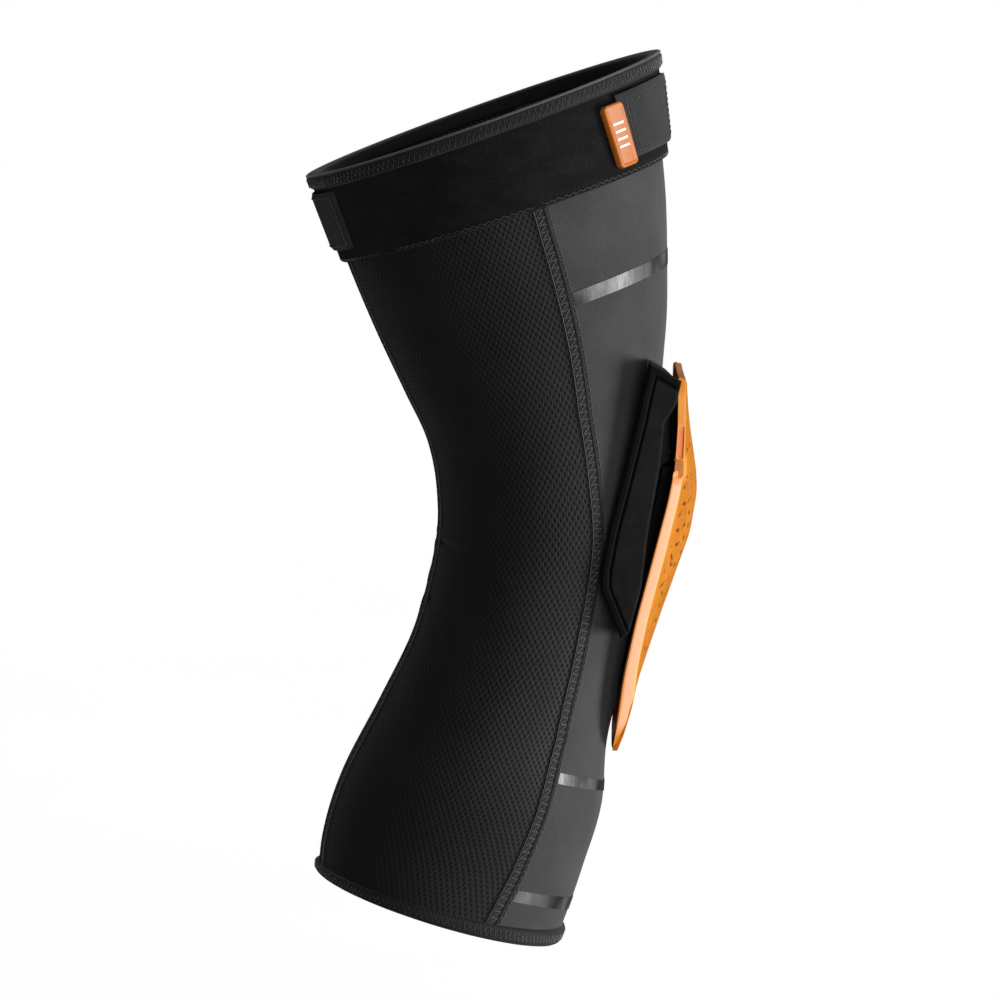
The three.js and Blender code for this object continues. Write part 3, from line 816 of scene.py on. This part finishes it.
def pull_label():
    """Thick orange rubber label at the strap's end, with plain raised grip bars and no lettering."""
    half_height, half_width, corner, outside, edge_round, rim = 12.5, 4.8, 2.0, 6.3, 0.9, 1.1  # mm
    rows, cols = 100, 44
    station, angle = strap_grid((0.25, 0.875), (TAB_END - 0.4, LABEL_END), rows, cols)
    down = np.abs(np.linspace(0, 1, rows)[:, None] * 2 * half_height - half_height)
    over = np.abs(np.linspace(0, 1, cols)[None, :] * 2 * half_width - half_width)
    # Distance inside a rectangle with rounded corners, in mm.
    past_down = np.maximum(down - (half_height - corner), 0)
    past_over = np.maximum(over - (half_width - corner), 0)
    from_arc = np.hypot(past_down, past_over)
    inside = np.where(from_arc > 0, corner - from_arc, np.minimum(half_height - down, half_width - over))
    drop = edge_round * (1 - rounding(inside / edge_round))
    dish = 0.25 * ramp(inside, rim, 0.4)
    outer = leg(station, angle, (outside - drop - dish) * MM)
    inner = leg(station, angle, 3.4 * MM)
    material = inside > -0.15
    keep = material[:-1, :-1] & material[1:, 1:] & material[1:, :-1] & material[:-1, 1:]
    label = grid_shell("strap_label", outer, inner, LABEL_RUBBER, keep=keep, sharp=60)
    fit(label, "strap_tab", "strap_pull_label")
    middle = (TAB_END + LABEL_END) / 2
    for k, at in enumerate(np.linspace(0.44, 0.66, 4)):
        stations, angles = (at - 0.011, at + 0.011), (middle - 2.2, middle + 2.2)
        bar = slab(f"strap_label_bar_{k + 1}", stations, angles, (5.8, 6.35), WHITE_PRINT, 6, 10, 0.1)
        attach(bar, "strap_tab")


pull_label()

# ---- knee cap -------------------------------------------------------------------------------------

SHELL_INSET = 2.4  # the side strips cover the shell's edge by this much
MARK_ROW, MARK_PITCH, MARK_REACH = 5.6, 7.0, 54  # mm between rows, along a row and out from the middle
MARK_DEPTH, MARK_HALF_WIDTH = 0.7, 0.75
PLAIN_TIP = -97  # below this height the cap is a plain deeper orange


def float_attribute(obj, name, values):
    attribute = obj.data.attributes.new(name, "FLOAT", "POINT")
    attribute.data.foreach_set("value", np.asarray(values, np.float32))


def cap_marks():
    """Short dashes and three-armed marks: (distance round the dome, height) ends of each groove in mm."""
    rng = np.random.default_rng(7)
    marks = []
    for row, z in enumerate(np.arange(-102, 47, MARK_ROW)):
        reach = float(read(CAP_WIDTH, z)) + 4
        for place in np.arange(MARK_PITCH / 2 * (row % 2) - MARK_REACH, MARK_REACH + 1, MARK_PITCH):
            if abs(place) > reach:
                continue
            centre = np.array([place, z]) + rng.uniform(-1.2, 1.2, 2)
            turn = rng.uniform(0, math.pi)
            arms = 3 if rng.random() < 0.3 else 1
            length = rng.uniform(1.4, 2.5)
            for k in range(arms):
                way = turn + k * 2 * math.pi / 3
                arm = np.array([math.cos(way), math.sin(way)]) * length
                start = centre - arm if arms == 1 else centre
                marks.append((start, centre + arm))
    return marks


def distance_to(points, marks):
    """Distance of each point to the nearest of the line pieces."""
    best = np.full(len(points), 1e9)
    for a, b in marks:
        span = b - a
        t = np.clip(((points - a) @ span) / (span @ span), 0, 1)
        best = np.minimum(best, np.linalg.norm(points - (a + t[:, None] * span), axis=1))
    return best


def cap_sheets(z, across):
    """Front and back face of the cap's shell in mm; across runs from -1 to 1 between the side strips."""
    z, across = np.broadcast_arrays(z, across)
    half = eased(CAP_WIDTH, z, 4)
    seat = eased(CAP_EDGE, z) + eased(CAP_SIDE, z)
    rise = np.maximum(0, eased(CAP_CROWN, z, 5) - seat)
    front = seat + rise * (1 - np.abs(across) ** 2.2)
    # Near the side strips the front face drops to meet the strip's leaning front edge.
    inside = (1 - np.abs(across)) * half
    front = front - 0.35 * np.clip(1 - inside / 0.8, 0, 1)
    return across * (half - SHELL_INSET), z, front, front - eased(CAP_WALL, z), inside


def around_dome(y, front):
    """Distance round the dome from its middle line, along each row, in mm."""
    steps = np.hypot(np.diff(y, axis=1), np.diff(front, axis=1))
    travelled = np.concatenate([np.zeros((len(y), 1)), np.cumsum(steps, axis=1)], axis=1)
    return travelled - travelled[:, y.shape[1] // 2][:, None]


def cap_shell():
    """The domed front of the cap is one flexible moulding, slit in from each side at the notch."""
    upper_rows, lower_rows, cols = 90, 270, 231
    across = np.linspace(-1, 1, cols)[None, :]
    # The top edge dips in the middle between two rounded horns.
    top = CAP_TOP_MIDDLE + (CAP_TOP - CAP_TOP_MIDDLE - 1) * np.abs(across) ** 3
    share = np.linspace(0, 1, upper_rows)[:, None]
    notch_top = CAP_NOTCH + CAP_NOTCH_GAP / 2
    z = np.concatenate([top * (1 - share) + notch_top * share,
                        np.linspace(SLOT_BOTTOM, CAP_BOTTOM + 0.8, lower_rows)[:, None] + 0 * across])
    y, z, front, back, inside = cap_sheets(z, across)
    flat = np.stack([around_dome(y, front), z], axis=-1).reshape(-1, 2)
    near = distance_to(flat, cap_marks()).reshape(y.shape)
    # No marks along the edges, at the tip or where the cap flexes.
    from_flex = np.abs(z - (notch_top + SLOT_BOTTOM) / 2)
    clear = ramp(inside, 3.4, 1.2) * ramp(z, CAP_BOTTOM + 8, 3) * ramp(from_flex, 3.3, 1.2)
    depth = ramp(near, MARK_HALF_WIDTH, -0.5) * clear
    crease = np.exp(-((z - CAP_NOTCH) / 2.5) ** 2) * np.clip(1 - (BRIDGE_HALF_WIDTH - np.abs(y)) / 14, 0, 1)
    outer = np.stack([front - MARK_DEPTH * depth - 0.8 * crease, y, z], axis=-1) * MM
    inner = np.stack([back, y * 0.99, z], axis=-1) * MM
    keep = np.ones((len(z) - 1, cols - 1), bool)
    bridge = np.abs(y[upper_rows - 1]) < BRIDGE_HALF_WIDTH
    keep[upper_rows - 1] = bridge[:-1] & bridge[1:]
    shell = grid_shell("knee_cap", outer, inner, CAP_RUBBER, keep=keep, sharp=50)
    # Vertices come in grid order, the outer face first, then the inner one.
    # Colour masks: painted shade in the grooves, a painted highlight on the shaded ends of the bridge, darker
    # orange at the tip, and painted shade over the whole inner face.
    groove = ramp(near, MARK_HALF_WIDTH + 0.1, -0.45) * clear
    bridge_end = ramp(np.abs(y), 33, 1) * np.exp(-((z - 13.5) / 5) ** 4)
    for name, face, behind in (("groove", groove, 0 * z), ("rim", 0.6 * bridge_end, 0.6 * bridge_end),
                               ("deep_tone_and_shade", ramp(z, PLAIN_TIP, -6), 0 * z + 0.25)):
        float_attribute(shell, name, np.concatenate([face, behind]).reshape(-1))
    return shell


# Section of a side strip from the rear round the outer face to the front: share of the depth, inset in
# mm, how much painted highlight the edge gets there, and whether it lies in the recess.
STRIP_SECTION = [(-0.5, 4.2, 0, 0), (-0.5, 0.5, 0, 0), (-0.42, 0.0, 1, 0), (-0.33, 0.15, 0.2, 0),
                 (-0.27, 0.3, 0, 1), (0.0, 0.85, 0, 1), (0.27, 1.6, 0, 1), (0.33, 1.75, 0.2, 0),
                 (0.44, 2.1, 1, 0), (0.5, 2.6, 0.4, 0), (0.5, 4.2, 0, 0)]
STRIP_MIDDLE = 2.1  # inset that the strip's rounded ends shrink to
RECESS_DEPTH = 0.55


def strip(name, line, painted_highlight, recess, edge_highlight=1.0):
    """Side strip of the cap: swept along line, rows of (y, z) in mm, leaning in towards its front edge.
    The third and fourth arguments are functions of height: the painted highlight on the outer face, and how
    much of the recess there is; the last argument is the strength of the painted highlight on the edges."""
    tangent = unit(np.gradient(line, axis=0))
    inward = np.stack([-tangent[:, 1], tangent[:, 0]], axis=1)
    inward *= np.sign((([0, -30] - line) * inward).sum(1))[:, None]
    z = line[:, 1]
    rear = eased(CAP_EDGE, z)
    depth = eased(CAP_SIDE, z)
    # Down beside the slit the strip is only half as deep.
    depth = np.where((z > SLOT_BOTTOM) & (z < CAP_NOTCH), 2.2, depth)
    count = len(line)
    shrink = rounding(from_ends(count) * np.linalg.norm(line[1] - line[0]) / 1.8, 0.02)
    centre = rear + depth / 2
    points, edge_highlights, face_highlights, tones_and_shades = [], [], [], []
    for share, inset, rim, in_recess in STRIP_SECTION:
        inset_here = STRIP_MIDDLE + (inset - STRIP_MIDDLE) * shrink + RECESS_DEPTH * in_recess * recess(z)
        across = line + inward * inset_here[:, None]
        points.append(np.stack([centre + share * depth * shrink, across[:, 0], across[:, 1]], axis=1))
        # Painted light and shade: a painted highlight on the edges and outer face, darker orange in the
        # recess, and painted shade on the inner faces.
        edge_highlights.append(edge_highlight * rim * np.ones(count))
        face_highlights.append(painted_highlight(z) * (0.2 < inset < 2.2))
        tones_and_shades.append(in_recess * recess(z) + 0.5 * (inset > 4))
    ring = len(STRIP_SECTION)
    faces = [[i * ring + k, i * ring + (k + 1) % ring, (i + 1) * ring + (k + 1) % ring, (i + 1) * ring + k]
             for i in range(count - 1) for k in range(ring)]
    faces += [list(range(ring)), list(range((count - 1) * ring, count * ring))[::-1]]
    obj = solid(name, np.stack(points, axis=1) * MM, faces, CAP_RUBBER, 60)
    for attribute, values in (("rim", edge_highlights), ("painted_highlight", face_highlights), ("deep_tone_and_shade", tones_and_shades)):
        float_attribute(obj, attribute, np.stack(values, axis=1).reshape(-1))
    return obj


def outline(z_from, z_to, side, count):
    """Edge of the cap on one side (-1 outer, 1 inner), from one height to the other."""
    z = np.linspace(z_from, z_to, count)
    return np.stack([side * eased(CAP_WIDTH, z, 4), z], axis=1)


def resampled(line, at):
    """Points of a line at these distances along it."""
    return np.stack([np.interp(at, distances(line), line[:, k]) for k in (0, 1)], axis=-1)


def lower_outline():
    """Edge of the lower cap from the outer notch round the bottom to the inner notch, evenly spaced."""
    top = CAP_NOTCH - CAP_NOTCH_GAP / 2
    line = np.concatenate([outline(top, CAP_BOTTOM + 4, -1, 200), np.array([[0, CAP_BOTTOM]]),
                           outline(CAP_BOTTOM + 4, top, 1, 200)])
    line = resampled(line, np.linspace(0, distances(line)[-1], 420))
    ends = line[:10].copy(), line[-10:].copy()
    for _ in range(60):
        line[1:-1] = (line[:-2] + line[1:-1] + line[2:]) / 3
    line[:10], line[-10:] = ends
    return line


def knee_cap():
    shell = cap_shell()
    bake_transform(shell)
    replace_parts(shell, "upper_knee_cap", "lower_knee_cap")

    # Painted highlight on the lower strip's lit outer face, none at the tip and weaker beside the slit.
    def lit_strip_highlight(z):
        return ramp(z, -102, 7) * np.clip((SLOT_BOTTOM - 1 - z) / 3, 0.35, 1)

    def window(z):
        return ramp(z, 17.5, 1.2) * ramp(z, 31.5, -1.2)

    def none(z):
        return 0 * z

    lower = strip("cap_strip_lower", lower_outline(), lit_strip_highlight, none)
    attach(lower, "shank")
    for name, side in (("lateral", -1), ("medial", 1)):
        line = outline(CAP_NOTCH + CAP_NOTCH_GAP / 2 + 0.2, CAP_TOP, side, 90)
        # The upper strips get no painted highlight on their faces and a weak one on their edges.
        upper = strip(f"cap_strip_upper_{name}", line, none, window, 0.25)
        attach(upper, "knee_cap_top")


knee_cap()

UPPER_LINER_BACK = 52.4
LINER_COLUMNS = 50


def sleeve_front(y, z):
    """Front face of the sleeve, x in mm, at each y and z in mm."""
    rear_x, rear_z, front_x, front_z, half_width = stations_at(np.linspace(0.2, LAST, 900)) / MM
    result = np.empty(y.shape)
    for index in np.ndindex(y.shape):
        reach = np.sqrt(np.clip(1 - (y[index] / half_width) ** 2, 0, 1))
        line_x = (rear_x + front_x + reach * (front_x - rear_x)) / 2
        line_z = (rear_z + front_z + reach * (front_z - rear_z)) / 2
        result[index] = np.interp(-z[index], -line_z, line_x)
    return result


def upper_back(y, z):
    return UPPER_LINER_BACK + 0 * y


def lower_back(y, z):
    """Just in front of the sleeve, further off towards the kneecap, and in from the cap's own edge."""
    off_sleeve = 0.7 + 3 * np.exp(-((z - 18) / 10) ** 2)
    return np.maximum(sleeve_front(y, z) + off_sleeve, eased(CAP_EDGE, z) - eased(LINER_LIP, z))


def liner(name, top, bottom, back, rows, node, body):
    """Foam block between the cap's back face and the sleeve."""
    across = np.linspace(-LINER_REACH, LINER_REACH, LINER_COLUMNS)[None, :]
    y, z, _, cap_back, _ = cap_sheets(np.linspace(top, bottom, rows)[:, None], across)
    front_face = cap_back - 0.4
    back_face = np.minimum(back(y, z), front_face - 0.8)
    edge = np.minimum(from_ends(LINER_COLUMNS)[None, :], from_ends(rows)[:, None])
    front_face = front_face - np.where(edge == 0, 0.4, 0.0)
    outer = np.stack([front_face, y, z], axis=-1) * MM
    inner = np.stack([back_face, y, z], axis=-1) * MM
    obj = grid_shell(name, outer, inner, LINER_FOAM)
    fit(obj, body, node)


heights = (CAP_TOP_MIDDLE - 6, CAP_NOTCH + 2.3)
liner("cap_liner_upper", *heights, upper_back, 40, "upper_cap_liner", "knee_cap_top")
heights = (CAP_NOTCH - 2.3, -80)
liner("cap_liner_lower", *heights, lower_back, 90, "lower_cap_liner", "shank")

# ---- side wings -----------------------------------------------------------------------------------

WING_BORDER, BORDER_RISE, BORDER_GROOVE, WING_ROUND = 3.6, 0.7, 0.9, 1.2
MEDIAL_LAP_EARLIER = 2.5  # the inner wing starts to lap over the cap this much further back
MEDIAL_WING_DROP = 9  # the inner wing's top corner sits this much lower


def along_edge(edge, share):
    """Points of an edge line at shares of its length."""
    edge = np.array(edge, float)
    return resampled(edge, share * distances(edge)[-1])


def sleeve_half_width(x, z):
    """Half width of the sleeve at (x, z) in mm, seen from the side, and 0 in front of it."""
    best = np.zeros(x.shape)
    rear_x, rear_z, front_x, front_z, half_width = stations_at(np.linspace(0.2, LAST, 700)) / MM
    dx, dz = front_x - rear_x, front_z - rear_z
    for index in np.ndindex(x.shape):
        along = (x[index] - rear_x) * dx + (z[index] - rear_z) * dz
        above = (z[index] - rear_z) * dx - (x[index] - rear_x) * dz
        k = int(np.argmin(np.abs(above)))
        reach = 2 * along[k] / math.hypot(dx[k], dz[k]) ** 2 - 1
        best[index] = half_width[k] * math.sqrt(max(0.0, 1 - reach * reach))
    return best


def wing_border_sides():
    """The raised border runs down the rear edge and over the top of the wing; its front edge has none."""
    rear = [np.array(p, float) for p in WING_REAR]
    return [(np.array(WING_FRONT[0], float), rear[0])] + list(zip(rear[:-1], rear[1:]))


def wing(name, side):
    """Moulded side pad: a raised border round a textured face, thick enough to reach the sleeve."""
    rows, cols = 200, 64
    down = np.linspace(0, 1, rows)
    across = np.linspace(0, 1, cols)[None, :, None]
    rear, front_edge = along_edge(WING_REAR, down), along_edge(WING_FRONT, down)
    place = rear[:, None] * (1 - across) + front_edge[:, None] * across
    x, z = place[..., 0], place[..., 1]
    rim = np.vstack([rear, front_edge[::-1]])
    sides = [(a, b) for a, b in zip(rim, np.roll(rim, -1, axis=0)) if np.linalg.norm(b - a) > 1e-6]
    inside = distance_to(place.reshape(-1, 2), sides).reshape(x.shape)
    from_border = distance_to(place.reshape(-1, 2), wing_border_sides()).reshape(x.shape)
    groove = np.exp(-((from_border - WING_BORDER) / 0.5) ** 2)
    rise = BORDER_RISE * ramp(from_border, WING_BORDER, -0.8) - BORDER_GROOVE * groove
    outer_y = read(WING_OUTER, x) + rise - WING_ROUND * (1 - rounding(inside / WING_ROUND))
    sleeve_y = np.maximum(sleeve_half_width(x, z) + WING_CLEAR, WING_INNER_MIN)
    lap_from = WING_LAP_FROM - (MEDIAL_LAP_EARLIER if side > 0 else 0)
    lap = ramp(x, lap_from, WING_LAP_FULL - WING_LAP_FROM)
    inner_y = np.minimum(sleeve_y * (1 - lap) + WING_LAP * lap, outer_y - 0.8)
    z = z - (MEDIAL_WING_DROP if side > 0 else 0) * ramp(z, 10, 50)
    outer = np.stack([x, side * outer_y, z], axis=-1) * MM
    inner = np.stack([x, side * inner_y, z], axis=-1) * MM
    obj = grid_shell(name, outer, inner, WING_FOAM, sharp=60)
    corners = np.array([(v.co.x, v.co.z) for v in obj.data.vertices]) / MM
    from_border = distance_to(corners, wing_border_sides())
    float_attribute(obj, "texture", ramp(from_border, WING_BORDER + 0.5, 0.6))
    bends_with_knee(obj)
    return obj


for name, side in (("lateral", -1), ("medial", 1)):
    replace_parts(wing(f"wing_{name}", side), f"side_wing_{name}", f"side_wing_face_{name}")

# ---- CAD nodes that stay ----------------------------------------------------------------------------

for name in ("top_gripper", "bottom_gripper"):
    for material_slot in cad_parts[name].material_slots:
        material_slot.material = SILICONE

# ---- floor, lights and camera -----------------------------------------------------------------------

FLOOR_DROP, FLOOR_HALF = 0.12, 40.0
STUDIO_LIGHT = 0.14
CAMERA_DISTANCE = 2.54
CAMERA_TILT = math.radians(7)
VIEW_HEIGHT = 0.42  # what the picture takes in at the object
SENSOR = 36


def pale_floor():
    """Wide plain floor; it neither throws light back on the object nor shades it."""
    mesh = bpy.data.meshes.new("floor")
    corners = [(FLOOR_HALF * x, FLOOR_HALF * y, CAD_BOX[0][2] - FLOOR_DROP)
               for x, y in ((-1, -1), (1, -1), (1, 1), (-1, 1))]
    mesh.from_pydata(corners, [], [(0, 1, 2, 3)])
    floor = new_object("floor", mesh, floor_paint())
    floor.visible_diffuse = False
    floor.visible_glossy = False
    floor.visible_shadow = False


def studio_world():
    """White backdrop that lights the object only softly, as a studio's distant walls do."""
    world = bpy.data.worlds.new("studio")
    bpy.context.scene.world = world
    world.use_nodes = True
    nodes, links = world.node_tree.nodes, world.node_tree.links
    backdrop = nodes["Background"]
    backdrop.inputs["Color"].default_value = (1, 1, 1, 1)
    backdrop.inputs["Strength"].default_value = 1.0
    light = nodes.new("ShaderNodeBackground")
    light.inputs["Strength"].default_value = STUDIO_LIGHT
    path = nodes.new("ShaderNodeLightPath")
    mix = nodes.new("ShaderNodeMixShader")
    links.new(path.outputs["Is Camera Ray"], mix.inputs["Fac"])
    links.new(light.outputs["Background"], mix.inputs[1])
    links.new(backdrop.outputs["Background"], mix.inputs[2])
    links.new(mix.outputs["Shader"], nodes["World Output"].inputs["Surface"])


def soft_sun(name, towards, angle, strength):
    """Large soft light far away, shining from the direction given."""
    data = bpy.data.lights.new(name, "SUN")
    data.angle = math.radians(angle)
    data.energy = strength
    light = bpy.data.objects.new(name, data)
    light.rotation_euler = Vector(towards).to_track_quat("Z", "Y").to_euler()
    bpy.context.scene.collection.objects.link(light)


def camera_at(target):
    """Camera on the object's outer side, a little above the target and pointed at it."""
    data = bpy.data.cameras.new("camera")
    data.sensor_width = SENSOR
    data.lens = SENSOR * CAMERA_DISTANCE / VIEW_HEIGHT
    data.clip_end = 50
    camera = bpy.data.objects.new("camera", data)
    bpy.context.scene.collection.objects.link(camera)
    camera.location = target + CAMERA_DISTANCE * Vector((0, -math.cos(CAMERA_TILT), math.sin(CAMERA_TILT)))
    camera.rotation_euler = (target - camera.location).to_track_quat("-Z", "Y").to_euler()
    bpy.context.scene.camera = camera


pale_floor()
studio_world()
soft_sun("key", (1.0, -0.2, -0.2), 36, 4.6)
soft_sun("fill", (0.3, -1.0, 0.05), 40, 1.8)
soft_sun("top", (0.1, 0.5, 1.0), 60, 1.3)
camera_at(Vector((-0.0189, 0, -0.0042)))
bpy.context.scene.view_settings.view_transform = "Standard"

bpy.context.view_layer.update()
